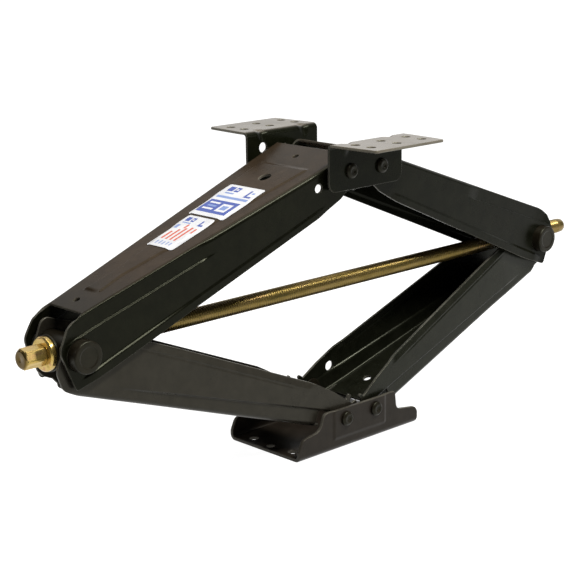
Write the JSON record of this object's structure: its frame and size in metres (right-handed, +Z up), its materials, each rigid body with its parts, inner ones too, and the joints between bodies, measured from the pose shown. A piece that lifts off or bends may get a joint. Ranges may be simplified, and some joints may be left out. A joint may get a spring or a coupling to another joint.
{
  "type": "scissor stabilizer jack",
  "caption": "Scissor stabilizer jack: tapered channel arms on a base channel, cross trunnions, hex-driven screw and flanged frame brackets.",
  "frame": {"origin": "centre of the underside of the base channel, on the ground", "axes": "+X along the drive screw, away from its hex end; +Z up; +Y across the arms, to the far side"},
  "size_m": [0.8244, 0.252, 0.3363],
  "materials": {
    "frame_steel": "semi-gloss black coating",
    "pivot_steel": "semi-gloss black coating over rivets and bars",
    "screw_zinc": "yellow zinc plating",
    "label_film": "printed film"
  },
  "bodies": {
    "base": {"base_channel": "frame_steel", "base_rivet_left_near": "pivot_steel", "base_rivet_left_far": "pivot_steel", "base_rivet_right_near": "pivot_steel", "base_rivet_right_far": "pivot_steel", "base_washer_left_near": "pivot_steel", "base_washer_left_far": "pivot_steel", "base_washer_right_near": "pivot_steel", "base_washer_right_far": "pivot_steel"},
    "lower_left": {"lower_left_arm": "frame_steel"},
    "lower_right": {"lower_right_arm": "frame_steel"},
    "left_trunnion_body": {"left_trunnion": "pivot_steel"},
    "right_trunnion_body": {"right_trunnion_nut": "pivot_steel"},
    "upper_left": {"upper_left_arm": "frame_steel", "label_upper": "label_film", "label_lower": "label_film"},
    "upper_right": {"upper_right_arm": "frame_steel"},
    "top": {"top_bracket_near": "frame_steel", "top_bracket_far": "frame_steel", "top_rivet_left_near": "pivot_steel", "top_rivet_left_far": "pivot_steel", "top_rivet_right_near": "pivot_steel", "top_rivet_right_far": "pivot_steel", "top_washer_left_near": "pivot_steel", "top_washer_left_far": "pivot_steel", "top_washer_right_near": "pivot_steel", "top_washer_right_far": "pivot_steel"},
    "screw": {"drive_screw": "screw_zinc", "hex_drive_head": "screw_zinc", "thrust_collar": "screw_zinc", "thrust_washer": "screw_zinc"}
  },
  "joints": [
    {"name": "fold", "type": "hinge", "parent": "base", "child": "lower_left", "pos_m": [-0.023, 0, 0.034], "axis": [0, 1, 0], "range_deg": [-19.1, 27.9]},
    {"name": "lower_right_pivot", "type": "hinge", "parent": "base", "child": "lower_right", "pos_m": [0.023, 0, 0.034], "axis": [0, -1, 0], "range_deg": [-19.1, 27.9]},
    {"name": "left_trunnion_pivot", "type": "hinge", "parent": "lower_left", "child": "left_trunnion_body", "pos_m": [-0.34773, 0, 0.16984], "axis": [0, -1, 0], "range_deg": [-19.1, 27.9]},
    {"name": "upper_left_pivot", "type": "hinge", "parent": "left_trunnion_body", "child": "upper_left", "pos_m": [-0.34773, 0, 0.16984], "axis": [0, -1, 0], "range_deg": [-19.1, 27.9]},
    {"name": "top_pivot", "type": "hinge", "parent": "upper_left", "child": "top", "pos_m": [-0.023, 0, 0.30568], "axis": [0, 1, 0], "range_deg": [-19.1, 27.9]},
    {"name": "right_trunnion_pivot", "type": "hinge", "parent": "lower_right", "child": "right_trunnion_body", "pos_m": [0.34773, 0, 0.16984], "axis": [0, 1, 0], "range_deg": [-19.1, 27.9]},
    {"name": "upper_right_pivot", "type": "hinge", "parent": "lower_right", "child": "upper_right", "pos_m": [0.34773, 0, 0.16984], "axis": [0, 1, 0], "range_deg": [-38.2, 55.8]},
    {"name": "screw_spin", "type": "hinge", "parent": "left_trunnion_body", "child": "screw", "pos_m": [-0.34773, 0, 0.16984], "axis": [1, 0, 0], "continuous": true}
  ],
  "couplings": [
    {"joint": "lower_right_pivot", "follows": "fold", "ratio": 1},
    {"joint": "left_trunnion_pivot", "follows": "fold", "ratio": 1},
    {"joint": "upper_left_pivot", "follows": "fold", "ratio": 1},
    {"joint": "top_pivot", "follows": "fold", "ratio": 1},
    {"joint": "right_trunnion_pivot", "follows": "fold", "ratio": 1},
    {"joint": "upper_right_pivot", "follows": "fold", "ratio": 2}
  ]
}
